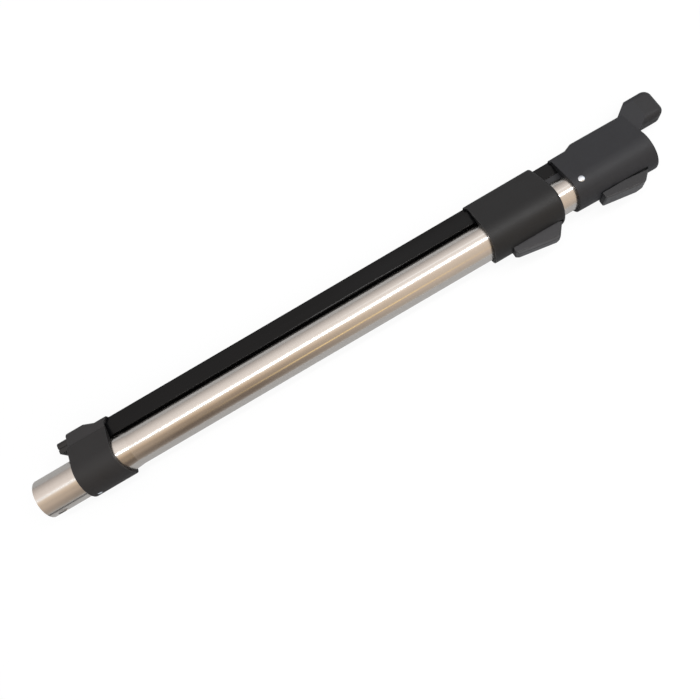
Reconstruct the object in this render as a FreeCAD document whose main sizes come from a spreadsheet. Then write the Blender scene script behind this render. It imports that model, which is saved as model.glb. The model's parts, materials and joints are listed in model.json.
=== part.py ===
import FreeCAD, Part
import math
import os
import Sketcher
from types import SimpleNamespace

# An electric vacuum wand: a steel tube that telescopes over a thinner one, with a conduit along its top
# that carries the lead from the handle's socket to the floor tool's plug.
# It lies as it comes to rest, on the flat side of its collars, with the slide pushed in.
#
# X runs along the wand from the floor tool's end to the handle's end, and the origin is the centre of
# the lower mouth. In the sketches "up" is the way to the conduit and "side" is across the wand:
# every piece is drawn with its conduit upwards, and then rolled onto its side by the same angle.

# Each row: name, millimetres (or degrees where it says so), what it is.
SIZES = (
    ("rest_roll", 17, "degrees past the horizontal that the conduit points down, and the lean of the flat sides"),
    ("seat_gap", 0.05, "clearance where one piece is seated in another"),
    ("running_gap", 0.08, "radial clearance where one piece slides or turns in another"),
    ("free_gap", 0.35, "clearance beside pieces that slide past without touching"),
    # Outer tube
    ("tube_radius", 17.5, "outer tube"),
    ("tube_wall", 0.8, "wall of both tubes"),
    ("mouth_growth", 1.2, "how far the lower end is swaged out"),
    ("mouth_length", 82, "straight part of the swaged end"),
    ("swage_length", 12, "taper between the swaged end and the tube"),
    ("lock_hole_place", 11, "centre of the round hole that the floor tool's button snaps into"),
    ("lock_hole_radius", 4.75, "radius of that hole"),
    # Inner tube
    ("inner_tube_radius", 16, "inner tube"),
    ("inner_tube_setback", 9, "from the swage to the inner tube's lower end"),
    ("slide_ring_length", 12, "ring that guides the inner tube's lower end"),
    ("dimple_count", 17, "pressed dimples that the latch picks between"),
    ("dimple_pitch", 20, "from one dimple to the next"),
    ("dimple_length", 5.2, "along the tube"),
    ("dimple_width", 6.4, "across"),
    ("dimple_depth", 1.3, "pressed in from the surface"),
    # Nozzle collar and its plug
    ("collar_place", 41.2, "left face of the nozzle collar"),
    ("collar_length", 43.2, "along the wand"),
    ("shell_radius", 21.7, "round underside of the collar and the clamp sleeve"),
    ("collar_high_top", 41.1, "top of the collar over the plug"),
    ("collar_low_top", 36.4, "top of the collar over the conduit"),
    ("collar_high_length", 19.8, "flat part of the top over the plug"),
    ("collar_slope_length", 11, "slope between the two tops"),
    ("collar_corner", 3, "rounding of the collar's top corners"),
    ("collar_edge", 1.2, "rounding of the collar's left edge"),
    ("cover_inset", 1.2, "how far the cover's left face stands behind the collar's"),
    ("cover_edge", 2.4, "rounding of the cover's left edge"),
    ("collar_scoop", 4.2, "how far the collar's right rim is scooped out at the sides"),
    ("collar_lean", 1, "how far that rim comes forward again towards the top"),
    ("parting_up", 27.3, "where the collar's cover parts from it"),
    ("plug_reach", 9.4, "how far the plug stands out of the collar"),
    ("plug_seat", 20.8, "how far the plug goes into the collar"),
    ("plug_half_width", 9.3, "half the plug's width"),
    ("plug_low", 26.8, "underside of the plug"),
    ("plug_height", 11.4, "height of the plug"),
    ("plug_corner", 4, "rounding of the plug's top corners"),
    ("plug_groove_up", 31.1, "middle of the groove along each side of the plug"),
    ("plug_groove_width", 1.1, "width of that groove"),
    ("plug_groove_depth", 1.2, "depth of that groove"),
    ("contact_spread", 4.3, "half the distance between a pair of contacts"),
    ("contact_up", 31.9, "height of the plug's contacts"),
    ("contact_radius", 2.2, "contact sleeves, outside"),
    ("contact_wall", 0.6, "wall of a contact sleeve"),
    ("contact_inset", 3, "from the plug's face to its contact sleeves"),
    ("contact_tail", 4, "how far the contacts stand out behind"),
    # Conduits and the lead in them
    ("conduit_half_width", 9, "half the outer conduit's width"),
    ("conduit_rise", 0.3, "gap between the tube and the conduit over it"),
    ("conduit_height", 16.9, "height of the outer conduit"),
    ("conduit_wall", 1.3, "wall of the outer conduit"),
    ("conduit_edge", 0.7, "rounding of the outer conduit's long edges"),
    ("conduit_seat", 10.4, "how far the outer conduit goes into the collar"),
    ("rim_hollow_depth", 6, "depth of the hollow beside the conduit in the collar's and the sleeve's rims"),
    ("rim_hollow_half_width", 11.8, "half the width of that hollow"),
    ("rim_hollow_low", 14, "lowest point of that hollow before the tube's bore trims it"),
    ("rim_hollow_top", 30.5, "top of that hollow"),
    ("inner_conduit_wall", 1.1, "wall of the inner conduit"),
    ("coil_length", 77, "coiled lead between the plug and the inner conduit"),
    ("lead_radius", 3.2, "straight lead in the inner conduit"),
    ("lead_up", 26.2, "height of the lead"),
    ("coil_radius", 5.5, "coiled lead in the outer conduit, outside"),
    # Clamp sleeve
    ("sleeve_place", 460, "left face of the clamp sleeve"),
    ("sleeve_top", 35.8, "top of the clamp sleeve"),
    ("sleeve_corner", 4, "rounding of its top corners"),
    ("sleeve_edge", 3.5, "rounding of its right edge"),
    ("sleeve_scoop", 2.2, "how far its left rim is scooped out at the sides"),
    ("sleeve_nose", 4, "how far its right rim falls back towards the top"),
    ("tube_grip", 44, "length of outer tube that the sleeve holds"),
    ("bush_length", 21.5, "guide bush that the inner tube slides in"),
    ("wiper_length", 3.4, "wiper seal beside the bush"),
    ("lip_length", 4.65, "lip that holds the wiper in the sleeve"),
    ("lip_opening", 0.5, "gap between the sleeve's lip and the inner tube"),
    # Handle coupling
    ("closed_gap", 14.8, "bare inner tube between sleeve and coupling when the slide is pushed in"),
    ("coupling_length", 79.7, "along the wand, without the hood"),
    ("coupling_left_radius", 19.2, "round underside at its left rim"),
    ("coupling_right_radius", 20.8, "round underside at its right rim"),
    ("coupling_left_top", 33.8, "top at the left rim"),
    ("coupling_step_top", 37.4, "top just after the step"),
    ("coupling_right_top", 35.9, "top at the right rim"),
    ("coupling_low_length", 17.5, "length of the lower top"),
    ("coupling_step_length", 8.1, "length of the step up"),
    ("coupling_corner", 3.5, "rounding of its top corners"),
    ("coupling_left_scoop", 1.2, "how far its left rim is scooped out at the sides"),
    ("coupling_right_scoop", 1.6, "how far its right rim is scooped out at the sides"),
    ("saddle_gap", 2.3, "between the sleeve and the coupling's saddle when the slide is pushed in"),
    ("saddle_half_width", 7.2, "half the width of the saddle between the inner tube and its conduit"),
    ("saddle_low", 14, "lowest point of the saddle before the tube's seat trims it"),
    ("tube_seat", 17.2, "how far the inner tube goes into the coupling"),
    ("seal_length", 2, "thickness of the mouth seal"),
    ("seal_lap", 0.2, "how far the seal stands back from both bores"),
    ("socket_gap", 0.3, "clearance that the handle's tube has in the coupling"),
    ("socket_grip", 45, "length of the bore that guides the handle's tube"),
    ("socket_relief", 0.4, "extra radius of that bore at its root and under the hood"),
    ("rivet_place", 9.7, "from the coupling's left rim to its rivets"),
    ("rivet_up", -1.2, "height of the coupling's rivets"),
    ("rivet_shank", 1.5, "radius of a rivet's shank"),
    ("rivet_head", 2.9, "radius of a rivet's head"),
    ("rivet_sink", 0.6, "how deep a rivet's head is let in"),
    ("rivet_dome", 0.9, "height of a rivet's dome"),
    ("collar_rivet_place", 6.5, "from the collar's left face to its rivet"),
    ("collar_rivet_depth", 1.5, "how deep the collar's rivet is let in"),
    # Hood and socket for the handle
    ("hood_half_width", 9.7, "half the hood's width"),
    ("hood_top", 47.5, "top of the hood"),
    ("hood_corner", 6, "rounding of the hood's and the nose's long edges"),
    ("hood_foot", 9.8, "lowest point of the hood's skirts at the rim, before the bore trims them"),
    ("hood_length", 15.9, "how far the hood's base reaches past the coupling"),
    ("ramp_setback", 4.5, "from the coupling's right rim back to the foot of the ramp"),
    ("ramp_length", 14.9, "length of the ramp up to the hood"),
    ("nose_length", 18.3, "socket nose past the hood's base"),
    ("nose_low", 18.5, "underside of the socket nose"),
    ("nose_corner", 8, "rounding of the nose's upper end, seen from the side"),
    ("nose_chin", 0.6, "how much rounder its lower end is than its long edges"),
    ("nose_wall", 2.8, "wall round the nose's recess"),
    ("recess_depth", 12, "depth of the nose's recess"),
    ("spigot_length", 5.4, "how far the socket is let into the hood"),
    ("spigot_step", 2, "how much smaller the spigot is than the nose"),
    ("pin_radius", 1.4, "socket pins"),
    ("pin_up", 28, "height of the socket pins"),
    ("pin_reach", 8, "how far the pins stand into the recess"),
    # Levers, shared
    ("lever_side_gap", 0.35, "gap beside a lever"),
    ("lever_end_gap", 0.7, "gap at a lever's ends"),
    ("lever_wall", 1.6, "side walls of a lever"),
    ("lever_floor", 1.8, "outer skin of a lever"),
    ("lever_rim", 18.7, "depth of a lever's rim"),
    ("lever_end_rim", 21, "depth of a lever's rim at the thumb end"),
    ("pocket_floor", 18.3, "depth of the pocket that a lever lies in"),
    ("pocket_reach", 1, "how far a pocket's cut starts outside the shell"),
    ("pawl_half_width", 3, "half a pawl's width"),
    ("pawl_tip", 1.8, "flat tip of a pawl along the wand"),
    ("pawl_length", 5.5, "length of a pawl's foot"),
    ("pawl_room", 2, "room round a pawl in its window"),
    ("lug_half_width", 3, "half the width of the lug that carries a lever"),
    ("lug_half_length", 3.2, "half the length of that lug"),
    ("lug_below", 2.6, "how far a lug reaches past its pin"),
    ("hinge_pin_radius", 1.1, "hinge pins"),
    ("hinge_pin_bite", 0.7, "how far a hinge pin reaches into each side wall of its lever"),
    ("spring_radius", 2, "middle of the wire"),
    ("spring_wire", 0.3, "radius of the wire"),
    ("spring_pitch", 2.2, "from turn to turn"),
    # Slide latch lever, from its thin end
    ("latch_start", 18, "thin end, from the sleeve's left face"),
    ("latch_pawl", 4, "left face of the pawl"),
    ("latch_pivot", 24, "hinge"),
    ("latch_spring", 33, "spring"),
    ("latch_thick", 37.5, "thickest point"),
    ("latch_ridge", 41, "corner before the thumb face"),
    ("latch_length", 50.5, "thumb end"),
    ("latch_pivot_depth", 24.5, "depth of the hinge"),
    ("latch_thin_depth", 27.9, "depth at the thin end"),
    ("latch_thick_depth", 33.9, "depth at the thickest point"),
    ("latch_ridge_depth", 33, "depth at the corner"),
    ("latch_half_width", 6, "half its width"),
    ("latch_chamfer", 2.2, "chamfer of its outer edges"),
    ("latch_pawl_gap", 0.3, "gap between the pawl's tip and the inner tube"),
    # Handle catch lever, from its thin end
    ("catch_start", 21.9, "thin end, from the coupling's left rim"),
    ("catch_pawl", 4.3, "left face of the pawl"),
    ("catch_pivot", 23.3, "hinge"),
    ("catch_spring", 29.3, "spring"),
    ("catch_thick", 31.3, "thickest point"),
    ("catch_ridge", 38.2, "corner before the thumb face"),
    ("catch_length", 46.1, "thumb end"),
    ("catch_pivot_depth", 22.3, "depth of the hinge"),
    ("catch_thin_depth", 25.1, "depth at the thin end"),
    ("catch_thick_depth", 29.7, "depth at the thickest point"),
    ("catch_ridge_depth", 29, "depth at the corner"),
    ("catch_half_width", 8, "half its width"),
    ("catch_chamfer", 0.8, "chamfer of its outer edges"),
    ("catch_pawl_bite", 1.2, "how far the pawl stands into the handle's bore"),
)

doc = FreeCAD.newDocument("ElectricWand")
sheet = doc.addObject("Spreadsheet::Sheet", "Sizes")
for row, (alias, number, meaning) in enumerate(SIZES, start=1):
    sheet.set(f"A{row}", alias)
    sheet.set(f"B{row}", str(number))
    sheet.setAlias(f"B{row}", alias)
    sheet.set(f"C{row}", meaning)
doc.recompute()


class Size:
    """A length: its number, and the formula on the sheet's cells that gives it."""

    def __init__(self, number, formula=None):
        self.number = float(number)
        self.formula = formula or repr(self.number)

    def __add__(self, other):
        other = as_size(other)
        return Size(self.number + other.number, f"({self.formula} + {other.formula})")

    def __sub__(self, other):
        other = as_size(other)
        return Size(self.number - other.number, f"({self.formula} - {other.formula})")

    def __mul__(self, other):
        other = as_size(other)
        return Size(self.number * other.number, f"({self.formula} * {other.formula})")

    def __truediv__(self, other):
        other = as_size(other)
        return Size(self.number / other.number, f"({self.formula} / {other.formula})")

    def __neg__(self):
        return Size(-self.number, f"(0 - {self.formula})")

    __radd__ = __add__
    __rmul__ = __mul__


def as_size(value):
    return value if isinstance(value, Size) else Size(value)


def sine(angle):
    return Size(math.sin(math.radians(angle.number)), f"sin({angle.formula} * 1 deg)")


def cosine(angle):
    return Size(math.cos(math.radians(angle.number)), f"cos({angle.formula} * 1 deg)")


def between(start, end, start_value, end_value, place):
    """The value at a place, on a straight line from one value to another."""
    share = (place - start) / (end - start)
    return start_value + (end_value - start_value) * share


dim = SimpleNamespace(**{alias: Size(sheet.get(alias), f"Sizes.{alias}") for alias, _, _ in SIZES})
origin = Size(0)

# Places and sizes that follow from the sheet
tube_bore = dim.tube_radius - dim.tube_wall
mouth_radius = dim.tube_radius + dim.mouth_growth
mouth_bore = mouth_radius - dim.tube_wall
swage_end = dim.mouth_length + dim.swage_length
inner_bore = dim.inner_tube_radius - dim.tube_wall
inner_tube_start = swage_end + dim.inner_tube_setback

collar_end = dim.collar_place + dim.collar_length
plug_face = dim.collar_place - dim.plug_reach
plug_back = dim.collar_place + dim.plug_seat
plug_top = dim.plug_low + dim.plug_height
contact_back = plug_back + dim.contact_tail

conduit_low = dim.tube_radius + dim.conduit_rise
conduit_top = conduit_low + dim.conduit_height
conduit_start = collar_end - dim.conduit_seat
inner_conduit_start = contact_back + dim.coil_length
cavity_half_width = dim.conduit_half_width - dim.conduit_wall
cavity_low = conduit_low + dim.conduit_wall
cavity_top = conduit_top - dim.conduit_wall
inner_half_width = cavity_half_width - dim.free_gap
inner_low = cavity_low + dim.free_gap
inner_top = cavity_top - dim.free_gap

tube_end = dim.sleeve_place + dim.tube_grip
bush_start = tube_end + dim.free_gap
wiper_start = bush_start + dim.bush_length + dim.seat_gap
lip_start = wiper_start + dim.wiper_length + dim.seat_gap
sleeve_end = lip_start + dim.lip_length

coupling_start = sleeve_end + dim.closed_gap
coupling_end = coupling_start + dim.coupling_length
saddle_start = sleeve_end + dim.saddle_gap
seat_end = coupling_start + dim.tube_seat
handle_bore = dim.tube_radius + dim.socket_gap
relief_bore = handle_bore + dim.socket_relief
grip_start = coupling_end - dim.coupling_right_scoop - dim.socket_grip
ramp_foot = coupling_end - dim.ramp_setback
hood_end = coupling_end + dim.hood_length
nose_end = hood_end + dim.nose_length
recess_start = nose_end - dim.recess_depth
spigot_start = hood_end - dim.spigot_length
spigot_half_width = dim.hood_half_width - dim.spigot_step
spigot_low = dim.nose_low + dim.spigot_step
spigot_top = dim.hood_top - dim.spigot_step
pin_start = spigot_start - dim.contact_tail
rivet_station = coupling_start + dim.rivet_place
rivet_surface = between(coupling_start, coupling_end, dim.coupling_left_radius, dim.coupling_right_radius,
                        rivet_station)
collar_rivet_station = dim.collar_place + dim.collar_rivet_place
clear_of_all = dim.hood_top + dim.shell_radius


def world_point(along, up):
    """The sheet formula of a point in the wand's middle plane, in the rolled frame."""
    return (f"vector({along.formula}; {up.formula} * cos(Sizes.rest_roll * 1 deg); "
            f"0 - {up.formula} * sin(Sizes.rest_roll * 1 deg))")


def new_body(label, along=origin, up=origin):
    """A body drawn conduit upwards, then rolled onto its side about the wand's axis."""
    body = doc.addObject("PartDesign::Body", label)
    body.Label = label
    roll = "rotation(vector(1; 0; 0); -(90 + Sizes.rest_roll))"
    body.setExpression("Placement", f"placement({world_point(along, up)}; {roll})")
    return body


def sketch_on(body, name, plane, offset=origin):
    """An empty sketch on one of the body's own planes, moved along that plane's normal."""
    sketch = body.newObject("Sketcher::SketchObject", f"{body.Name}_{name}")
    base = next(item for item in body.Origin.OriginFeatures if item.Role == plane)
    sketch.AttachmentSupport = [(base, "")]
    sketch.MapMode = "FlatFace"
    sketch.setExpression("AttachmentOffset.Base.z", offset.formula)
    return sketch


def bind(sketch, kind, geometry, end, size):
    index = sketch.addConstraint(Sketcher.Constraint(kind, -1, 1, geometry, end, size.number))
    sketch.setExpression(f"Constraints[{index}]", size.formula)


def draw_outline(sketch, points, arcs=None):
    """A closed outline, anticlockwise. arcs gives the centre of each side that is an arc."""
    arcs = arcs or {}
    points = [(as_size(x), as_size(y)) for x, y in points]
    first = sketch.GeometryCount
    count = len(points)
    for side in range(count):
        start = FreeCAD.Vector(points[side][0].number, points[side][1].number, 0)
        end = FreeCAD.Vector(points[(side + 1) % count][0].number, points[(side + 1) % count][1].number, 0)
        if side in arcs:
            centre = FreeCAD.Vector(as_size(arcs[side][0]).number, as_size(arcs[side][1]).number, 0)
            angles = [math.atan2((p - centre).y, (p - centre).x) for p in (start, end)]
            full = Part.Circle(centre, FreeCAD.Vector(0, 0, 1), (start - centre).Length)
            sketch.addGeometry(Part.ArcOfCircle(full, angles[0], angles[1]), False)
        else:
            sketch.addGeometry(Part.LineSegment(start, end), False)
    for side in range(count):
        following = first + (side + 1) % count
        sketch.addConstraint(Sketcher.Constraint("Coincident", first + side, 2, following, 1))
    for side, (x, y) in enumerate(points):
        bind(sketch, "DistanceX", first + side, 1, x)
        bind(sketch, "DistanceY", first + side, 1, y)
        if side in arcs:
            upright = abs(x.number - points[(side + 1) % count][0].number) < 1e-6
            kind, centre = ("DistanceX", arcs[side][0]) if upright else ("DistanceY", arcs[side][1])
            bind(sketch, kind, first + side, 3, as_size(centre))


def outline(body, name, plane, points, offset=origin, arcs=None):
    sketch = sketch_on(body, name, plane, offset)
    draw_outline(sketch, points, arcs)
    return sketch


def box(body, name, plane, left, right, low, high, offset=origin):
    return outline(body, name, plane, [(left, low), (right, low), (right, high), (left, high)], offset)


def draw_circle(sketch, x, y, radius):
    x, y, radius = as_size(x), as_size(y), as_size(radius)
    centre = FreeCAD.Vector(x.number, y.number, 0)
    geometry = sketch.addGeometry(Part.Circle(centre, FreeCAD.Vector(0, 0, 1), radius.number), False)
    bind(sketch, "DistanceX", geometry, 3, x)
    bind(sketch, "DistanceY", geometry, 3, y)
    index = sketch.addConstraint(Sketcher.Constraint("Radius", geometry, radius.number))
    sketch.setExpression(f"Constraints[{index}]", radius.formula)


def circles(body, name, plane, rounds, offset=origin):
    sketch = sketch_on(body, name, plane, offset)
    for x, y, radius in rounds:
        draw_circle(sketch, x, y, radius)
    return sketch


def volume(body):
    doc.recompute()
    if body.Tip is None:
        return 0
    if body.Tip.Shape.isNull():
        raise RuntimeError(f"{body.Tip.Name} has no shape")
    return body.Tip.Shape.Volume


def extrude(body, sketch, kind, length, symmetric, forward):
    """A pad or pocket of the sketch: along the plane's normal, against it, or both ways alike."""
    before = volume(body)
    feature = body.newObject(f"PartDesign::{kind}", f"{sketch.Name}_{kind.lower()}")
    feature.Profile = sketch
    feature.SideType = "Symmetric" if symmetric else "One side"
    feature.Reversed = forward if kind == "Pocket" else not forward
    feature.setExpression("Length", as_size(length).formula)
    changed = volume(body) - before
    if (changed <= 0) == (kind == "Pad"):
        raise RuntimeError(f"{feature.Name} changes nothing")
    return feature


def pad(body, sketch, length, symmetric=False, forward=True):
    return extrude(body, sketch, "Pad", length, symmetric, forward)


def pocket(body, sketch, length, symmetric=False, forward=True):
    return extrude(body, sketch, "Pocket", length, symmetric, forward)


def turn(body, sketch, kind="Revolution", axis="H_Axis"):
    """A full turn of the sketch about one of its own axes: solid, or cut away as a Groove."""
    before = volume(body)
    feature = body.newObject(f"PartDesign::{kind}", f"{sketch.Name}_{kind.lower()}")
    feature.Profile = sketch
    feature.ReferenceAxis = (sketch, [axis])
    changed = volume(body) - before
    if (changed <= 0) == (kind == "Revolution"):
        raise RuntimeError(f"{feature.Name} changes nothing")
    return feature


def dress(body, kind, size, wanted):
    """A fillet or chamfer on the edges of the solid so far that the test picks."""
    doc.recompute()
    base = body.Tip
    names = [f"Edge{number}" for number, edge in enumerate(base.Shape.Edges, start=1) if wanted(edge)]
    feature = body.newObject(f"PartDesign::{kind}", f"{body.Name}_{kind.lower()}")
    feature.Base = (base, names)
    quantity = "Radius" if kind == "Fillet" else "Size"
    feature.setExpression(quantity, size.formula)
    doc.recompute()
    return feature


def edge_beyond(station):
    """Picks the edges that lie to the right of a place."""
    return lambda edge: edge.BoundBox.XMin > station.number


def edge_at(station):
    """Picks the edges that lie in one plane across the wand."""
    def wanted(edge):
        box_of_edge = edge.BoundBox
        return (abs(box_of_edge.XMin - station.number) < 1e-3
                and abs(box_of_edge.XMax - station.number) < 1e-3)
    return wanted


def ring(body, name, start, end, inside, outside):
    """A plain turned ring or tube."""
    return turn(body, box(body, name, "XZ_Plane", start, end, inside, outside))


def bore(body, name, start, end, radius):
    """A round hole along the wand's axis."""
    return pocket(body, circles(body, name, "YZ_Plane", [(0, 0, radius)], start), end - start)


def channel(body, name, start, end, half_width, low, high):
    """A square-sided channel along the wand."""
    return pocket(body, box(body, name, "YZ_Plane", -half_width, half_width, low, high, start), end - start)


def teardrop(body, name, station, radius, top, corner):
    """Section of a collar: round below, flat leaning sides, and a flat top with rounded corners."""
    lean_sine, lean_cosine = sine(dim.rest_roll), cosine(dim.rest_roll)
    foot_side, foot_up = radius * lean_cosine, radius * lean_sine
    centre_up = top - corner
    centre_side = (radius - corner - centre_up * lean_sine) / lean_cosine
    head_side, head_up = centre_side + corner * lean_cosine, centre_up + corner * lean_sine
    points = [(-foot_side, foot_up), (foot_side, foot_up), (head_side, head_up),
              (centre_side, top), (-centre_side, top), (-head_side, head_up)]
    arcs = {0: (0, origin), 2: (centre_side, centre_up), 4: (-centre_side, centre_up)}
    return outline(body, name, "YZ_Plane", points, station, arcs)


def rounded_block(body, name, station, half_width, low, top, corner):
    """Section with a flat underside, upright sides and rounded top corners."""
    flat, shoulder = half_width - corner, top - corner
    points = [(-half_width, low), (half_width, low), (half_width, shoulder),
              (flat, top), (-flat, top), (-half_width, shoulder)]
    arcs = {2: (flat, shoulder), 4: (-flat, shoulder)}
    return outline(body, name, "YZ_Plane", points, station, arcs)


def rounded_bar(body, name, station, half_width, low, top, corner):
    """Section with all four corners rounded."""
    flat, foot, shoulder = half_width - corner, low + corner, top - corner
    points = [(-flat, low), (flat, low), (half_width, foot), (half_width, shoulder),
              (flat, top), (-flat, top), (-half_width, shoulder), (-half_width, foot)]
    arcs = {1: (flat, foot), 3: (flat, shoulder), 5: (-flat, shoulder), 7: (-flat, foot)}
    return outline(body, name, "YZ_Plane", points, station, arcs)


def oblong(body, name, plane, x, y, half_x, half_y, offset=origin):
    """An outline with straight sides and both ends half round, whichever way is the longer."""
    x, y = as_size(x), as_size(y)
    if half_x.number > half_y.number:
        left, right = x - (half_x - half_y), x + (half_x - half_y)
        points = [(left, y - half_y), (right, y - half_y), (right, y + half_y), (left, y + half_y)]
        arcs = {1: (right, y), 3: (left, y)}
    else:
        low, high = y - (half_y - half_x), y + (half_y - half_x)
        points = [(x - half_x, low), (x + half_x, low), (x + half_x, high), (x - half_x, high)]
        arcs = {0: (x, low), 2: (x, high)}
    return outline(body, name, plane, points, offset, arcs)


def oval(body, name, station, half_width, low, top):
    """Section with upright sides and both ends half round."""
    return oblong(body, name, "YZ_Plane", 0, (low + top) / 2, half_width, (top - low) / 2, station)


def loft(body, sections):
    doc.recompute()
    feature = body.newObject("PartDesign::AdditiveLoft", f"{body.Name}_loft")
    feature.Profile = sections[0]
    feature.Sections = sections[1:]
    feature.Ruled = True
    doc.recompute()
    return feature


def sweep_radius(half_span, depth):
    """Radius of the arc that falls back by the depth over half its span."""
    return (half_span * half_span + depth * depth) / (depth * 2)


def scoop(body, name, rim, depth, radius, shoulder, faces_left, lean=origin):
    """Sets a rim back at the sides: an arc below the axis, upright above it, up to the top's corners."""
    sweep = sweep_radius(radius, depth)
    if faces_left:
        back, outside = rim + depth, rim - 1
        points = [(rim, -radius), (back, 0), (back - lean, shoulder), (outside, shoulder + depth),
                  (outside, -radius)]
        arcs = {0: (back - sweep, 0)}
    else:
        back, outside = rim - depth, rim + 1
        points = [(back, 0), (rim, -radius), (outside, -radius), (outside, shoulder + depth),
                  (back + lean, shoulder)]
        arcs = {0: (back + sweep, 0)}
    return pocket(body, outline(body, name, "XZ_Plane", points, arcs=arcs), clear_of_all, symmetric=True)


def round_off(body, name, rim, fall, reach):
    """Cuts a right rim to an arc about the wand's axis, seen from the side."""
    sweep = sweep_radius(reach, fall)
    points = [(rim + 1, reach), (rim + 1, -reach), (rim - fall, -reach), (rim - fall, reach)]
    rounding = outline(body, name, "XZ_Plane", points, arcs={2: (rim - sweep, 0)})
    return pocket(body, rounding, clear_of_all, symmetric=True)


def outer_tube():
    body = new_body("outer_tube")
    turn(body, outline(body, "wall", "XZ_Plane", [
        (origin, mouth_bore), (dim.mouth_length, mouth_bore), (swage_end, tube_bore), (tube_end, tube_bore),
        (tube_end, dim.tube_radius), (swage_end, dim.tube_radius), (dim.mouth_length, mouth_radius),
        (origin, mouth_radius)]))
    outside = -mouth_radius - dim.pocket_reach
    lock_hole = [(dim.lock_hole_place, 0, dim.lock_hole_radius)]
    pocket(body, circles(body, "lock_hole", "XY_Plane", lock_hole, outside), mouth_radius)
    pawl_window(body, latch.pawl, dim.tube_radius)
    rivet_hole = circles(body, "rivet_hole", "XY_Plane",
                         [(collar_rivet_station, 0, dim.rivet_shank + dim.seat_gap)], outside)
    pocket(body, rivet_hole, mouth_radius)
    return body


def pawl_window(body, pawl, depth):
    """The hole that a lever's pawl reaches through, cut from outside."""
    half_width = dim.pawl_half_width + dim.pawl_room / 2
    window = box(body, "pawl_window", "XY_Plane", pawl - dim.pawl_room, pawl + dim.pawl_length + dim.pawl_room,
                 -half_width, half_width, -depth - dim.pocket_reach)
    return pocket(body, window, depth)


def collar_form(label, start, edge):
    """The nozzle collar's outside: one form, which the collar and its cover share."""
    body = new_body(label)
    slope_start = dim.collar_place + dim.collar_high_length
    stations = (
        (start, dim.collar_high_top),
        (slope_start, dim.collar_high_top),
        (slope_start + dim.collar_slope_length, dim.collar_low_top),
        (collar_end, dim.collar_low_top),
    )
    loft(body, [teardrop(body, f"section_{number}", station, dim.shell_radius, top, dim.collar_corner)
                for number, (station, top) in enumerate(stations)])
    dress(body, "Fillet", edge, edge_at(start))
    scoop(body, "rim", collar_end, dim.collar_scoop, dim.shell_radius,
          dim.collar_low_top - dim.collar_corner - dim.collar_scoop / 2, faces_left=False, lean=dim.collar_lean)
    return body


def collar_split(body, low, high):
    """Keeps one side of the parting plane by cutting the other away."""
    cut = box(body, "parting", "XZ_Plane", dim.collar_place - 1, collar_end + 1, low, high)
    pocket(body, cut, clear_of_all, symmetric=True)


def rim_hollow(body, start, end):
    """Leaves a thin wall round the conduit where it goes into a shell."""
    return channel(body, "rim_hollow", start, end, dim.rim_hollow_half_width, dim.rim_hollow_low,
                   dim.rim_hollow_top)


def nozzle_collar():
    body = collar_form("nozzle_collar", dim.collar_place, dim.collar_edge)
    collar_split(body, dim.parting_up, dim.hood_top)
    bore(body, "tube_bore", dim.collar_place - 1, collar_end + 1, mouth_radius + dim.seat_gap)
    plug_half = dim.plug_half_width + dim.seat_gap
    channel(body, "plug_seat", dim.collar_place - 1, plug_back, plug_half,
            dim.plug_low - dim.seat_gap, dim.hood_top)
    channel(body, "conduit_seat", plug_back, collar_end + 1, dim.conduit_half_width + dim.seat_gap,
            origin, dim.hood_top)
    rim_hollow(body, collar_end - dim.rim_hollow_depth, collar_end + 1)
    hole = circles(body, "rivet_hole", "XY_Plane",
                   [(collar_rivet_station, 0, dim.rivet_shank + dim.seat_gap)],
                   -dim.shell_radius - dim.pocket_reach)
    pocket(body, hole, dim.shell_radius)
    sink = circles(body, "rivet_sink", "XY_Plane",
                   [(collar_rivet_station, 0, dim.rivet_head + dim.seat_gap)],
                   -dim.shell_radius + dim.collar_rivet_depth)
    pocket(body, sink, dim.collar_rivet_depth + dim.pocket_reach, forward=False)
    return body


def plug_cover():
    body = collar_form("plug_cover", dim.collar_place + dim.cover_inset, dim.cover_edge)
    collar_split(body, -dim.hood_top, dim.parting_up)
    channel(body, "plug_seat", dim.collar_place - 1, plug_back, dim.plug_half_width + dim.seat_gap,
            origin, plug_top + dim.seat_gap)
    channel(body, "conduit_seat", plug_back, collar_end + 1, dim.conduit_half_width + dim.seat_gap,
            origin, conduit_top + dim.seat_gap)
    rim_hollow(body, collar_end - dim.rim_hollow_depth, collar_end + 1)
    return body


def nozzle_plug():
    body = new_body("nozzle_plug")
    section = rounded_block(body, "block", plug_face, dim.plug_half_width, dim.plug_low, plug_top,
                            dim.plug_corner)
    pad(body, section, plug_back - plug_face)
    hole_radius = dim.contact_radius + dim.seat_gap
    holes = circles(body, "contact_holes", "YZ_Plane",
                    [(side * dim.contact_spread, dim.contact_up, hole_radius) for side in (-1, 1)], plug_face)
    pocket(body, holes, plug_back - plug_face)
    low, high = (dim.plug_groove_up + step * dim.plug_groove_width / 2 for step in (-1, 1))
    for name, side in (("groove_near", -1), ("groove_far", 1)):
        deep = (dim.plug_half_width - dim.plug_groove_depth) * side
        wide = (dim.plug_half_width + dim.plug_groove_depth) * side
        left, right = (deep, wide) if side > 0 else (wide, deep)
        groove = box(body, name, "YZ_Plane", left, right, low, high, plug_face)
        pocket(body, groove, dim.plug_reach - dim.free_gap)
    return body


def plug_contacts():
    body = new_body("plug_contacts")
    rounds = []
    for side in (-1, 1):
        for radius in (dim.contact_radius, dim.contact_radius - dim.contact_wall):
            rounds.append((side * dim.contact_spread, dim.contact_up, radius))
    start = plug_face + dim.contact_inset
    pad(body, circles(body, "sleeves", "YZ_Plane", rounds, start), contact_back - start)
    return body


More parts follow.
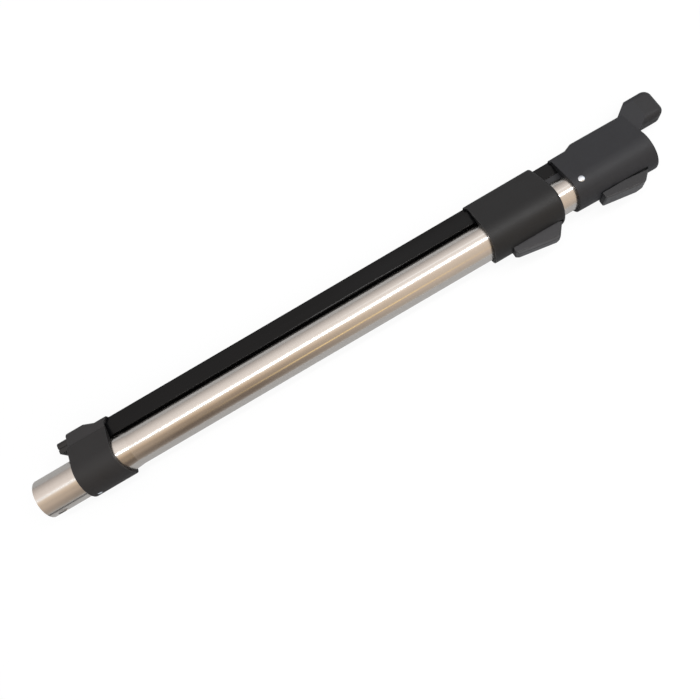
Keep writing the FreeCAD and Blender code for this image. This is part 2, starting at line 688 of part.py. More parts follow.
def collar_rivet():
    """The rivet on the underside, drawn with its axis upright."""
    body = new_body("collar_rivet", collar_rivet_station)
    seat = -(dim.shell_radius - dim.collar_rivet_depth)
    brim = seat - dim.rivet_sink
    peak = brim - dim.rivet_dome
    centre = peak + dome_radius()
    foot = -(mouth_bore + dim.seat_gap)
    turn(body, outline(body, "profile", "XZ_Plane", [
        (0, peak), (dim.rivet_head, brim), (dim.rivet_head, seat), (dim.rivet_shank, seat),
        (dim.rivet_shank, foot), (0, foot)], arcs={0: (0, centre)}), axis="V_Axis")
    return body


def dome_radius():
    return (dim.rivet_head * dim.rivet_head + dim.rivet_dome * dim.rivet_dome) / (dim.rivet_dome * 2)


def outer_conduit():
    body = new_body("outer_conduit")
    half = dim.conduit_half_width
    block = box(body, "block", "YZ_Plane", -half, half, conduit_low, conduit_top, conduit_start)
    pad(body, block, tube_end - conduit_start)
    dress(body, "Fillet", dim.conduit_edge, lambda edge: edge.BoundBox.XLength > 1)
    channel(body, "cavity", conduit_start - 1, tube_end + 1, cavity_half_width, cavity_low, cavity_top)
    gap = dim.conduit_rise
    turn(body, outline(body, "swage_relief", "XZ_Plane", [
        (conduit_start - 1, 0), (swage_end, 0), (swage_end, dim.tube_radius + gap),
        (dim.mouth_length, mouth_radius + gap), (conduit_start - 1, mouth_radius + gap)]), "Groove")
    return body


def coiled_lead():
    """The coiled lead between the plug and the inner conduit, as the tube that its turns fill."""
    body = new_body("coiled_lead")
    coil = circles(body, "coil", "YZ_Plane", [(0, dim.lead_up, dim.coil_radius)], contact_back)
    pad(body, coil, inner_conduit_start - contact_back)
    return body


def lever_seat(body, lever, shell, spring_room=True):
    """The pocket, pawl window and hinge lug that a shell has for a lever."""
    half = lever.half_width + dim.lever_side_gap
    reach = shell + dim.pocket_reach
    pocket_sketch = box(body, "lever_pocket", "XY_Plane", lever.start - dim.lever_end_gap,
                        lever.end + dim.lever_end_gap, -half, half, -reach)
    pocket(body, pocket_sketch, reach - dim.pocket_floor)
    pawl_window(body, lever.pawl, shell)
    lug_low = lever.pivot_depth + dim.lug_below
    lug = box(body, "hinge_lug", "XY_Plane", lever.pivot - dim.lug_half_length, lever.pivot + dim.lug_half_length,
              -dim.lug_half_width, dim.lug_half_width, -lug_low)
    pad(body, lug, lug_low - dim.pocket_floor + dim.seat_gap)
    hole = circles(body, "hinge_hole", "XZ_Plane",
                   [(lever.pivot, -lever.pivot_depth, dim.hinge_pin_radius + dim.seat_gap)])
    pocket(body, hole, dim.lug_half_width * 3, symmetric=True)


def clamp_sleeve():
    body = new_body("clamp_sleeve")
    section = teardrop(body, "section", dim.sleeve_place, dim.shell_radius, dim.sleeve_top, dim.sleeve_corner)
    pad(body, section, sleeve_end - dim.sleeve_place)
    round_off(body, "right_rim", sleeve_end, dim.sleeve_nose, dim.sleeve_top)
    dress(body, "Fillet", dim.sleeve_edge, edge_beyond(sleeve_end - dim.sleeve_nose * 1.5))
    scoop(body, "left_rim", dim.sleeve_place, dim.sleeve_scoop, dim.shell_radius,
          dim.sleeve_top - dim.sleeve_corner, faces_left=True)
    bore(body, "tube_bore", dim.sleeve_place - 1, lip_start, dim.tube_radius + dim.seat_gap)
    bore(body, "lip_bore", dim.sleeve_place - 1, sleeve_end + 1, dim.inner_tube_radius + dim.lip_opening)
    channel(body, "conduit_seat", dim.sleeve_place - 1, tube_end + dim.seat_gap,
            dim.conduit_half_width + dim.seat_gap, origin, conduit_top + dim.seat_gap)
    rim_hollow(body, dim.sleeve_place - 1, dim.sleeve_place + dim.sleeve_scoop + dim.rim_hollow_depth)
    channel(body, "slide_way", tube_end, sleeve_end + 1, cavity_half_width, cavity_low, cavity_top)
    lever_seat(body, latch, dim.shell_radius)
    return body


def guide_bush():
    body = new_body("guide_bush")
    ring(body, "wall", bush_start, bush_start + dim.bush_length,
         dim.inner_tube_radius + dim.running_gap, dim.tube_radius)
    return body


def wiper_seal():
    body = new_body("wiper_seal")
    ring(body, "wall", wiper_start, wiper_start + dim.wiper_length,
         dim.inner_tube_radius + dim.running_gap, dim.tube_radius)
    return body


def pin_half_length(lever):
    return lever.half_width - dim.lever_wall + dim.hinge_pin_bite


def hinge_pin(label, lever):
    body = new_body(label)
    pin = circles(body, "pin", "XZ_Plane", [(lever.pivot, -lever.pivot_depth, dim.hinge_pin_radius)])
    pad(body, pin, pin_half_length(lever) * 2, symmetric=True)
    return body


def lever_spring(label, lever):
    """A small compression spring between the pocket's floor and the lever."""
    top = -(dim.pocket_floor + dim.seat_gap + dim.spring_wire)
    body = new_body(label, lever.spring, top)
    profile = circles(body, "wire", "XZ_Plane", [(dim.spring_radius, 0, dim.spring_wire)])
    doc.recompute()
    feature = body.newObject("PartDesign::AdditiveHelix", f"{label}_helix")
    feature.Profile = profile
    feature.ReferenceAxis = (profile, ["V_Axis"])
    feature.Mode = "pitch-height-angle"
    room = lever.spring_depth - dim.pocket_floor - dim.seat_gap * 2 - dim.spring_wire * 2
    feature.setExpression("Pitch", dim.spring_pitch.formula)
    feature.setExpression("Height", room.formula)
    feature.Reversed = True
    doc.recompute()
    return body


def lever(label, at):
    """A sprung rocker: thin end with the pawl, hinge under the middle, thumb end beyond it."""
    body = new_body(label)
    rim, half = dim.lever_rim, at.half_width
    side = outline(body, "side", "XZ_Plane", [
        (at.start, -rim), (at.start, -at.thin_depth), (at.thick, -at.thick_depth),
        (at.ridge, -at.ridge_depth), (at.end, -dim.lever_end_rim), (at.pivot, -rim)])
    pad(body, side, half * 2, symmetric=True)

    def outer_edge(edge):
        edge_box = edge.BoundBox
        on_side = edge_box.YLength < 1e-3 and abs(abs(edge_box.YMax) - half.number) < 1e-3
        below = edge_box.ZMin < -dim.lever_end_rim.number - 1
        upright = edge_box.XLength < 1e-3
        across = edge_box.YLength > half.number and abs(edge_box.XMax - at.start.number) < 1e-3
        return below and ((on_side and not upright) or across)

    dress(body, "Chamfer", at.chamfer, outer_edge)
    inside = at.pawl + dim.pawl_length + dim.lever_wall
    inside_depth = between(at.start, at.thick, at.thin_depth, at.thick_depth, inside) - dim.lever_floor
    thumb = at.end - dim.lever_wall * 3
    hollow = outline(body, "hollow", "XZ_Plane", [
        (inside, -rim + dim.lever_floor), (inside, -inside_depth), (at.thick, dim.lever_floor - at.thick_depth),
        (at.ridge - dim.lever_wall, dim.lever_floor * 1.5 - at.ridge_depth),
        (thumb, -dim.lever_end_rim - dim.lever_floor), (thumb, -rim + dim.lever_floor)])
    pocket(body, hollow, (half - dim.lever_wall) * 2, symmetric=True)
    tip = at.pawl + dim.pawl_tip
    foot = at.pawl + dim.pawl_length
    pawl = outline(body, "pawl", "XZ_Plane", [
        (at.pawl, -rim - 1), (foot, -rim - 1), (foot, -rim), (tip, -at.pawl_depth), (at.pawl, -at.pawl_depth)])
    pad(body, pawl, dim.pawl_half_width * 2, symmetric=True)
    hole = circles(body, "hinge_hole", "XZ_Plane",
                   [(at.pivot, -at.pivot_depth, dim.hinge_pin_radius + dim.running_gap)])
    pocket(body, hole, (pin_half_length(at) + dim.seat_gap) * 2, symmetric=True)
    return body


def lever_places(name, shell_start, pawl_depth):
    """The sheet's values for one lever, gathered under short names, with its places along the wand."""
    def named(short):
        return getattr(dim, f"{name}_{short}")

    start = shell_start + named("start")
    at = SimpleNamespace(start=start, end=start + named("length"), pawl_depth=pawl_depth)
    for short in ("pawl", "pivot", "spring", "thick", "ridge"):
        setattr(at, short, start + named(short))
    for short in ("pivot_depth", "thin_depth", "thick_depth", "ridge_depth", "half_width", "chamfer"):
        setattr(at, short, named(short))
    near_side = at.spring - dim.spring_radius - dim.spring_wire
    skin = between(at.start, at.thick, at.thin_depth, at.thick_depth, near_side)
    at.spring_depth = skin - dim.lever_floor - dim.seat_gap
    return at


def inner_tube():
    body = new_body("inner_tube")
    ring(body, "wall", inner_tube_start, seat_end, inner_bore, dim.inner_tube_radius)
    holes = circles(body, "rivet_holes", "XZ_Plane",
                    [(rivet_station, dim.rivet_up, dim.rivet_shank + dim.seat_gap)])
    pocket(body, holes, clear_of_all, symmetric=True)
    last = latch.pawl + dim.pawl_tip / 2
    first = last - (dim.dimple_count - 1) * dim.dimple_pitch
    features = []
    wall = dim.tube_wall
    back_low = -(dim.inner_tube_radius - wall * 0.8)
    back_high = -(dim.inner_tube_radius - dim.dimple_depth - wall)
    steps = (("dimple_back", wall, back_low, back_high, pad),
             ("dimple", origin, -dim.inner_tube_radius - 1, -(dim.inner_tube_radius - dim.dimple_depth), pocket))
    for name, margin, low, high, make in steps:
        sketch = oblong(body, name, "XY_Plane", first, 0, dim.dimple_length / 2 + margin,
                        dim.dimple_width / 2 + margin, low)
        features.append(make(body, sketch, high - low))
    row = body.newObject("PartDesign::LinearPattern", "dimple_row")
    row.Originals = features
    along = next(item for item in body.Origin.OriginFeatures if item.Role == "X_Axis")
    row.Direction = (along, [""])
    row.Mode = "Extent"
    row.setExpression("Length", ((dim.dimple_count - 1) * dim.dimple_pitch).formula)
    row.setExpression("Occurrences", dim.dimple_count.formula)
    body.Tip = row
    doc.recompute()
    return body


def slide_ring():
    body = new_body("slide_ring")
    ring(body, "wall", inner_tube_start, inner_tube_start + dim.slide_ring_length,
         dim.inner_tube_radius + dim.seat_gap / 2, tube_bore - dim.running_gap)
    return body


def inner_conduit():
    body = new_body("inner_conduit")
    start, end = inner_conduit_start, seat_end
    block = box(body, "block", "YZ_Plane", -inner_half_width, inner_half_width, inner_low, inner_top, start)
    pad(body, block, end - start)
    dress(body, "Fillet", dim.conduit_edge, lambda edge: edge.BoundBox.XLength > 1)
    wall = dim.inner_conduit_wall
    channel(body, "cavity", start - 1, end + 1, inner_half_width - wall, inner_low + wall, inner_top - wall)
    return body


def handle_coupling():
    body = new_body("handle_coupling")
    step_start = coupling_start + dim.coupling_low_length
    step_end = step_start + dim.coupling_step_length
    stations = ((coupling_start, dim.coupling_left_top), (step_start, dim.coupling_left_top),
                (step_end, dim.coupling_step_top), (coupling_end, dim.coupling_right_top))
    sections = []
    for number, (station, top) in enumerate(stations):
        radius = between(coupling_start, coupling_end, dim.coupling_left_radius, dim.coupling_right_radius,
                         station)
        sections.append(teardrop(body, f"section_{number}", station, radius, top, dim.coupling_corner))
    loft(body, sections)
    scoop(body, "left_rim", coupling_start, dim.coupling_left_scoop, dim.coupling_left_radius,
          dim.coupling_left_top - dim.coupling_corner, faces_left=True)
    scoop(body, "right_rim", coupling_end, dim.coupling_right_scoop, dim.coupling_right_radius,
          dim.coupling_right_top, faces_left=False)
    hood_base(body, step_end)
    gap = dim.seat_gap
    saddle = box(body, "saddle", "YZ_Plane", -dim.saddle_half_width, dim.saddle_half_width, dim.saddle_low,
                 inner_low - gap, saddle_start)
    pad(body, saddle, seat_end - saddle_start)
    bore(body, "tube_seat", saddle_start - 1, seat_end, dim.inner_tube_radius + gap)
    bore(body, "handle_bore", seat_end, coupling_end + 1, handle_bore)
    bore(body, "root_relief", seat_end, grip_start, relief_bore)
    bore(body, "hood_relief", coupling_end, hood_end + 1, relief_bore)
    channel(body, "lead_way", coupling_start - 1, spigot_start + gap, inner_half_width + gap,
            inner_low - gap, inner_top + gap)
    cavity = oval(body, "spigot_seat", spigot_start, spigot_half_width + gap, spigot_low - gap, spigot_top + gap)
    pocket(body, cavity, dim.spigot_length + 1)
    lever_seat(body, catch, between(coupling_start, coupling_end, dim.coupling_left_radius,
                                    dim.coupling_right_radius, catch.end))
    hole = circles(body, "rivet_holes", "XZ_Plane", [(rivet_station, dim.rivet_up, dim.rivet_shank + gap)])
    pocket(body, hole, clear_of_all, symmetric=True)
    for name, side in (("rivet_sink_near", 1), ("rivet_sink_far", -1)):
        sink = circles(body, name, "XZ_Plane", [(rivet_station, dim.rivet_up, dim.rivet_head + gap)],
                       side * (rivet_surface - dim.rivet_sink))
        pocket(body, sink, dim.pocket_reach * 2, forward=side > 0)
    return body


def hood_base(body, step_end):
    """The hood's root: a bar with skirts that straddle the handle's tube, and a ramp up to it."""
    shoulder = dim.nose_low + dim.hood_corner
    skirts = outline(body, "skirts", "XZ_Plane", [
        (ramp_foot, dim.hood_foot), (coupling_end, dim.hood_foot), (hood_end, shoulder), (ramp_foot, shoulder)])
    pad(body, skirts, dim.hood_half_width * 2, symmetric=True)
    base = rounded_bar(body, "hood", ramp_foot, dim.hood_half_width, dim.nose_low, dim.hood_top, dim.hood_corner)
    pad(body, base, hood_end - ramp_foot)
    foot_up = between(step_end, coupling_end, dim.coupling_step_top, dim.coupling_right_top, ramp_foot)
    above = dim.hood_top + 1
    ramp = outline(body, "ramp", "XZ_Plane", [
        (ramp_foot, foot_up), (ramp_foot + dim.ramp_length, dim.hood_top),
        (ramp_foot + dim.ramp_length, above), (ramp_foot, above)])
    pocket(body, ramp, clear_of_all, symmetric=True)


def coupling_rivets():
    """The pair of rivets through the coupling's sides, drawn about their own axis."""
    body = new_body("coupling_rivets", rivet_station, dim.rivet_up)
    seat = rivet_surface - dim.rivet_sink
    brim = rivet_surface
    peak = brim + dim.rivet_dome
    foot = inner_bore + dim.seat_gap
    one = turn(body, outline(body, "profile", "XY_Plane", [
        (0, foot), (dim.rivet_shank, foot), (dim.rivet_shank, seat), (dim.rivet_head, seat),
        (dim.rivet_head, brim), (0, peak)], arcs={4: (0, peak - dome_radius())}), axis="V_Axis")
    mirror = body.newObject("PartDesign::Mirrored", "other_rivet")
    mirror.Originals = [one]
    plane = next(item for item in body.Origin.OriginFeatures if item.Role == "XZ_Plane")
    mirror.MirrorPlane = (plane, [""])
    body.Tip = mirror
    doc.recompute()
    return body


def mouth_seal():
    body = new_body("mouth_seal")
    ring(body, "wall", seat_end, seat_end + dim.seal_length, inner_bore + dim.seal_lap,
         relief_bore - dim.seal_lap)
    return body


def socket_housing():
    body = new_body("socket_housing")
    chin = dim.hood_corner + dim.nose_chin
    low, high = dim.nose_low + chin, dim.hood_top - dim.nose_corner
    chin_start, brow_start = nose_end - chin, nose_end - dim.nose_corner
    nose = outline(body, "nose", "XZ_Plane", [
        (hood_end, dim.nose_low), (chin_start, dim.nose_low), (nose_end, low), (nose_end, high),
        (brow_start, dim.hood_top), (hood_end, dim.hood_top)],
        arcs={1: (chin_start, low), 3: (brow_start, high)})
    pad(body, nose, dim.hood_half_width * 2, symmetric=True)
    dress(body, "Fillet", dim.hood_corner,
          lambda edge: edge.BoundBox.YLength < 1e-3 and edge.BoundBox.XMax > hood_end.number + 1e-3)
    spigot = oval(body, "spigot", spigot_start, spigot_half_width, spigot_low, spigot_top)
    pad(body, spigot, dim.spigot_length + dim.seat_gap)
    wall = dim.nose_wall
    recess = oval(body, "recess", recess_start, dim.hood_half_width - wall, dim.nose_low + wall,
                  dim.hood_top - wall)
    pocket(body, recess, dim.recess_depth + 1)
    pin_hole = dim.pin_radius + dim.seat_gap
    holes = circles(body, "pin_holes", "YZ_Plane",
                    [(side * dim.contact_spread, dim.pin_up, pin_hole) for side in (-1, 1)],
                    spigot_start - 1)
    pocket(body, holes, recess_start - spigot_start + 2)
    return body


def socket_pins():
    body = new_body("socket_pins")
    pins = circles(body, "pins", "YZ_Plane",
                   [(side * dim.contact_spread, dim.pin_up, dim.pin_radius) for side in (-1, 1)], pin_start)
    pad(body, pins, recess_start + dim.pin_reach - pin_start)
    return body


def inner_lead():
    body = new_body("inner_lead")
    start = inner_conduit_start
    pad(body, circles(body, "lead", "YZ_Plane", [(0, dim.lead_up, dim.lead_radius)], start), pin_start - start)
    return body


latch = lever_places("latch", dim.sleeve_place, dim.inner_tube_radius + dim.latch_pawl_gap)
catch = lever_places("catch", coupling_start, handle_bore - dim.catch_pawl_bite)

pieces = [
    outer_tube(), nozzle_collar(), plug_cover(), nozzle_plug(), plug_contacts(), collar_rivet(),
    outer_conduit(), coiled_lead(), clamp_sleeve(), guide_bush(), wiper_seal(),
    hinge_pin("latch_hinge_pin", latch), lever_spring("latch_spring_coil", latch),
    lever("latch_lever", latch),
    inner_tube(), slide_ring(), inner_conduit(), handle_coupling(), coupling_rivets(), mouth_seal(),
    socket_housing(), socket_pins(), inner_lead(),
    hinge_pin("catch_hinge_pin", catch), lever_spring("catch_spring_coil", catch),
    lever("catch_lever", catch),
]

doc.recompute()
for item in doc.Objects:
    if {"Invalid", "Error"} & set(item.State):
        raise RuntimeError(f"{item.Label} failed: {item.State}")
for piece in pieces:
    shape = piece.Shape
    if shape.isNull() or not shape.isValid() or not shape.Solids:
        raise RuntimeError(f"{piece.Label} has no valid solid")

os.makedirs("parts", exist_ok=True)
for piece in pieces:
    piece.Shape.exportStep(f"parts/{piece.Label}.step")
    print(f"{piece.Label}: {len(piece.Shape.Solids)} solids, {piece.Shape.Volume:.1f} mm3")
whole = Part.makeCompound([piece.Shape for piece in pieces]).BoundBox
print(f"overall {whole.XLength:.1f} x {whole.YLength:.1f} x {whole.ZLength:.1f} mm")
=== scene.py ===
import json
import math

import bmesh
import bpy
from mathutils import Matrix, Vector
from mathutils.bvhtree import BVHTree


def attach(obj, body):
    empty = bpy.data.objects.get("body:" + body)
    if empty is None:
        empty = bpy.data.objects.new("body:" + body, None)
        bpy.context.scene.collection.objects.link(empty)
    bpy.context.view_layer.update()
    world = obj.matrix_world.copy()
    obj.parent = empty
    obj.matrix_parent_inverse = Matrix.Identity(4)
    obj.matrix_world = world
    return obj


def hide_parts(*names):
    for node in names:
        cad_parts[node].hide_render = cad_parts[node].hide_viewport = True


MM = 0.001
ROLL = math.radians(-17)                                        # the conduit points this far below level
UP = Vector((0, math.cos(ROLL), math.sin(ROLL)))                # from the axis towards the conduit
SIDE = Vector((0, -math.sin(ROLL), math.cos(ROLL)))             # across the wand, on its upper side
FLOOR = -21.7 * MM                                              # surface that the wand lies on
MIDDLE = 330 * MM                                               # middle of the wand's length

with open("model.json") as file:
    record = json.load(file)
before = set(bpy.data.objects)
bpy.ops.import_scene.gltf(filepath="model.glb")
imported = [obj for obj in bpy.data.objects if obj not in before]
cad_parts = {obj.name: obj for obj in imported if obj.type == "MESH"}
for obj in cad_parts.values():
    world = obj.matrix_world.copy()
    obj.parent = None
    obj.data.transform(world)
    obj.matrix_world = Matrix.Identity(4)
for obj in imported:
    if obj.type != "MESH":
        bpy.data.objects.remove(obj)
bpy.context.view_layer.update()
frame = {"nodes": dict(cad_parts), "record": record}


# Camera

CAMERA_PLACE = (306.4 * MM, -22.8 * MM, 618 * MM)
CAMERA_TURN = math.radians(-30.35)                              # the wand climbs to the right in the picture
LENS = 35.0
SENSOR = 36.0

camera = bpy.data.objects.new("camera", bpy.data.cameras.new("camera"))
camera.location = CAMERA_PLACE
camera.rotation_euler = (0, 0, CAMERA_TURN)
camera.data.lens = LENS
camera.data.sensor_width = SENSOR
bpy.context.collection.objects.link(camera)
bpy.context.scene.camera = camera
bpy.context.scene.view_settings.view_transform = "Standard"


# Shader nodes

NOISE_DETAIL = 4.0
NOISE_ROUGHNESS = 0.55
NOISE_LOW, NOISE_HIGH = 0.3, 0.7                                # what most of the noise lies between


class Wiring:
    """The shader nodes of a material or of the world, from an empty tree."""

    def __init__(self, owner):
        owner.use_nodes = True
        owner.node_tree.nodes.clear()
        self.nodes = owner.node_tree.nodes
        self.links = owner.node_tree.links

    def add(self, kind, inputs, **settings):
        """A node of that kind. Inputs pairs a socket's name or number with a value or another socket."""
        made = self.nodes.new(f"ShaderNode{kind}")
        for name, value in settings.items():
            setattr(made, name, value)
        for socket, value in inputs.items():
            if isinstance(value, bpy.types.NodeSocket):
                self.links.new(value, made.inputs[socket])
            else:
                made.inputs[socket].default_value = value
        return made

    def noise(self, stretch):
        """Noise in the piece's own space. Stretch gives the features per metre along each axis."""
        coordinates = self.add("TexCoord", {})
        mapping = self.add("Mapping", {"Vector": coordinates.outputs["Object"], "Scale": stretch})
        texture = self.add("TexNoise", {"Vector": mapping.outputs["Vector"], "Scale": 1.0,
                                        "Detail": NOISE_DETAIL, "Roughness": NOISE_ROUGHNESS})
        return texture.outputs["Fac"]

    def ramp(self, source, stops):
        """A colour ramp on source. Each stop is a place from 0 to 1 and a colour."""
        made = self.add("ValToRGB", {"Fac": source})
        elements = made.color_ramp.elements
        while len(elements) < len(stops):
            elements.new(0.5)
        for element, (place, colour) in zip(elements, stops):
            element.position = place
            element.color = (*colour, 1)
        return made.outputs["Color"]

    def spread(self, source, start, end, low=0.0, high=1.0):
        """Low where source is start, high where it is end, and between them in between."""
        made = self.add("MapRange", {"Value": source, "From Min": start, "From Max": end,
                                     "To Min": low, "To Max": high})
        return made.outputs["Result"]

    def arithmetic(self, operation, first, second):
        """The result of a Math node on two sockets or values."""
        return self.add("Math", {0: first, 1: second}, operation=operation).outputs["Value"]

    def shown(self, camera_share, glossy_share):
        """How far a surface shows as plain white to each kind of ray."""
        rays = self.add("LightPath", {}).outputs
        seen = self.arithmetic("MAXIMUM", rays["Is Camera Ray"], rays["Is Transmission Ray"])
        seen = self.arithmetic("MULTIPLY", seen, camera_share)
        reflected = self.arithmetic("MULTIPLY", rays["Is Glossy Ray"], glossy_share)
        return self.arithmetic("MAXIMUM", seen, reflected)


# Materials

def surface(name, colour, roughness, tone, grain, relief, change=0.08, vary=0.05, haze=None,
            metallic=0.0, specular=0.5, drawn=False):
    """A material: the noise called tone is behind its colour, haze behind its roughness, grain its relief.

    Change is how far its colour varies and vary how far its roughness does. A drawn metal stretches its
    highlights along X.
    """
    material = bpy.data.materials.new(name)
    tree = Wiring(material)
    tones = tree.noise(tone)
    hazes = tree.noise(haze) if haze else tones
    darker, lighter = ([c * share for c in colour] for share in (1 - change, 1 + change))
    bump = tree.add("Bump", {"Strength": 1.0, "Distance": relief, "Height": tree.noise(grain)})
    inputs = {
        "Base Color": tree.ramp(tones, [(NOISE_LOW, darker), (NOISE_HIGH, lighter)]),
        "Roughness": tree.spread(hazes, NOISE_LOW, NOISE_HIGH, roughness - vary, roughness + vary),
        "Metallic": metallic,
        "Specular IOR Level": specular,
        "Normal": bump.outputs["Normal"],
    }
    if drawn:
        tangent = tree.add("Tangent", {}, direction_type="RADIAL", axis="X")
        inputs["Tangent"] = tangent.outputs["Tangent"]
        inputs["Anisotropic"] = STRETCH
        inputs["Anisotropic Rotation"] = ALONG_X
    shader = tree.add("BsdfPrincipled", inputs)
    tree.add("OutputMaterial", {"Surface": shader.outputs["BSDF"]})
    return material


def moulding(name, colour, roughness):
    """A dark grey moulded plastic with a fine grain."""
    return surface(name, colour, roughness, CLOUDS, GRAIN, 0.05 * MM, specular=0.36)


STRETCH = 0.75                                                  # how far a drawn metal stretches highlights
ALONG_X = 0.25                                                  # their turn, as a share of a full turn
RINGS = (2600, 40, 40)                                          # polishing lines run round the tube
FLOW = (12, 500, 500)                                           # drawing lines run along an extrusion
GRAIN = (2600, 2600, 2600)                                      # moulded grain, under half a millimetre
CLOUDS = (60, 60, 60)                                           # slow changes over a moulding
SMUDGES = (25, 90, 90)                                          # faint marks of handling on the metal

steel = surface("tube_steel", (0.66, 0.63, 0.60), 0.2, RINGS, RINGS, 0.0004 * MM,
                change=0.03, vary=0.03, haze=SMUDGES, metallic=1.0, drawn=True)
coupling_plastic = moulding("coupling_plastic", (0.0165, 0.0175, 0.021), 0.55)
hood_plastic = moulding("hood_plastic", (0.015, 0.0155, 0.018), 0.55)
sleeve_plastic = moulding("sleeve_plastic", (0.0075, 0.008, 0.009), 0.5)
collar_plastic = moulding("collar_plastic", (0.016, 0.0155, 0.0165), 0.6)
cover_plastic = moulding("cover_plastic", (0.026, 0.025, 0.0265), 0.6)
latch_plastic = moulding("latch_plastic", (0.031, 0.0305, 0.034), 0.52)
catch_plastic = moulding("catch_plastic", (0.0215, 0.0215, 0.024), 0.52)
# Painted light: the levers' sides away from UP are painted this lighter grey, for the light that they catch.
painted_lit_plastic = moulding("painted_lit_plastic", (0.060, 0.061, 0.066), 0.5)
# The roundings' finish: partly wear, and partly a painted highlight that makes the edges lighter.
wear_and_highlight_plastic = moulding("wear_and_highlight_plastic", (0.030, 0.030, 0.032), 0.38)
conduit_plastic = surface("conduit_plastic", (0.0045, 0.0045, 0.005), 0.2, FLOW, FLOW, 0.002 * MM,
                          specular=0.16)
plug_plastic = surface("plug_plastic", (0.006, 0.006, 0.0065), 0.4, CLOUDS, GRAIN, 0.02 * MM)
pale_plastic = surface("pale_plastic", (0.70, 0.69, 0.66), 0.42, CLOUDS, GRAIN, 0.01 * MM, change=0.03)
chrome = surface("rivet_chrome", (0.80, 0.85, 0.93), 0.12, CLOUDS, RINGS, 0.002 * MM,
                 change=0.03, vary=0.03, metallic=1.0)
brass = surface("contact_brass", (0.78, 0.60, 0.30), 0.26, RINGS, RINGS, 0.003 * MM, metallic=1.0)
rubber = surface("lead_rubber", (0.020, 0.020, 0.020), 0.62, CLOUDS, GRAIN, 0.01 * MM)
pin_steel = surface("pin_steel", (0.55, 0.55, 0.56), 0.3, RINGS, RINGS, 0.003 * MM, metallic=1.0)

FINISHES = {
    "outer_tube": steel, "inner_tube": steel,
    "nozzle_collar": collar_plastic, "plug_cover": cover_plastic, "nozzle_plug": plug_plastic,
    "clamp_sleeve": sleeve_plastic, "latch_lever": latch_plastic, "catch_lever": catch_plastic,
    "handle_coupling": coupling_plastic, "socket_housing": hood_plastic,
    "outer_conduit": conduit_plastic, "inner_conduit": conduit_plastic,
    "coiled_lead": rubber, "inner_lead": rubber, "wiper_seal": rubber, "mouth_seal": rubber,
    "guide_bush": pale_plastic, "slide_ring": pale_plastic,
    "collar_rivet": chrome, "coupling_rivets": chrome,
    "plug_contacts": brass, "socket_pins": brass,
    "latch_hinge_pin": pin_steel, "catch_hinge_pin": pin_steel,
    "latch_spring_coil": pin_steel, "catch_spring_coil": pin_steel,
}
for node, finish in FINISHES.items():
    frame["nodes"][node].data.materials.clear()
    frame["nodes"][node].data.materials.append(finish)


# Pieces in place of solids

BODY_OF = {node: body for body, nodes in frame["record"]["behaviour"]["bodies"].items() for node in nodes}


def add_piece(mesh, node):
    """Puts a mesh in the scene in place of a node, on the same body. The piece is named after it."""
    piece = bpy.data.objects.new(f"{node}_body", mesh)
    bpy.context.collection.objects.link(piece)
    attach(piece, BODY_OF[node])
    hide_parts(node)
    return piece


# Moulded pieces, with their sharp edges rounded

WELD = 0.002 * MM                                               # corners closer than this are one
SPECK = 0.05 * MM                                               # edges shorter than this go
LEVEL = math.radians(0.4)                                       # faces that differ by less are one face
SHARP = math.radians(28)                                        # edges that turn by more are rounded
ROUNDING_STEPS = 2
OWN, WEAR_AND_HIGHLIGHT, PAINTED_LIT = range(3)                                     # material slots of a rounded piece: its own finish, edges worn and painted lighter as highlights, a side painted lighter as lit
OUTER_LEAN = -0.5                                               # share of UP below which a face is painted lighter, as lit


def rounded(name, mesh, width, clamp):
    """The mesh with its sharp edges rounded by width, worn and painted lighter as highlights, and smoothly
    shaded elsewhere.

    A rounding's corner that lands away from the mesh is brought back to it.
    """
    form = BVHTree.FromPolygons([v.co for v in mesh.vertices], [tuple(f.vertices) for f in mesh.polygons])
    draft = bpy.data.objects.new(name, mesh)
    bpy.context.collection.objects.link(draft)
    bevel = draft.modifiers.new("rounding", "BEVEL")
    bevel.width = width
    bevel.segments = ROUNDING_STEPS
    bevel.limit_method = "ANGLE"
    bevel.angle_limit = SHARP
    bevel.use_clamp_overlap = clamp
    # The roundings take the worn finish, which is also painted lighter as an edge highlight.
    bevel.material = WEAR_AND_HIGHLIGHT
    shading = draft.modifiers.new("shading", "WEIGHTED_NORMAL")
    shading.mode = "FACE_AREA_WITH_ANGLE"
    shading.keep_sharp = True
    bpy.context.view_layer.update()
    made = bpy.data.meshes.new_from_object(draft.evaluated_get(bpy.context.evaluated_depsgraph_get()))
    bpy.data.objects.remove(draft)
    made.name = name
    for vertex in made.vertices:
        nearest, _, _, distance = form.find_nearest(vertex.co)
        if distance > width / 2:
            vertex.co = nearest
    return made


def softened(node, width=0.35 * MM, clamp=False, outer=None):
    """A solid's own form with rounded edges, in its place.

    With clamp, the piece's shortest edges hold all of its rounding below a tenth of a millimetre. Outer is
    a lighter finish painted on the side away from UP, as painted light on the side that catches more light.
    """
    work = bmesh.new()
    work.from_mesh(frame["nodes"][node].data)
    bmesh.ops.remove_doubles(work, verts=work.verts, dist=WELD)
    bmesh.ops.dissolve_limit(work, angle_limit=LEVEL, verts=work.verts, edges=work.edges)
    bmesh.ops.dissolve_degenerate(work, dist=SPECK, edges=work.edges)
    work.normal_update()
    for face in work.faces:
        face.smooth = True
        # Faces away from UP take the outer finish, painted lighter as lit.
        face.material_index = PAINTED_LIT if outer and face.normal.dot(UP) < OUTER_LEAN else OWN
    for edge in work.edges:
        edge.smooth = True
    mesh = bpy.data.meshes.new(f"{node}_draft")
    work.to_mesh(mesh)
    work.free()
    for finish in (FINISHES[node], wear_and_highlight_plastic, outer or FINISHES[node]):
        mesh.materials.append(finish)
    add_piece(rounded(f"{node}_body", mesh, width, clamp), node)


# The outer conduit, with sides that lean. Its sizes are in millimetres

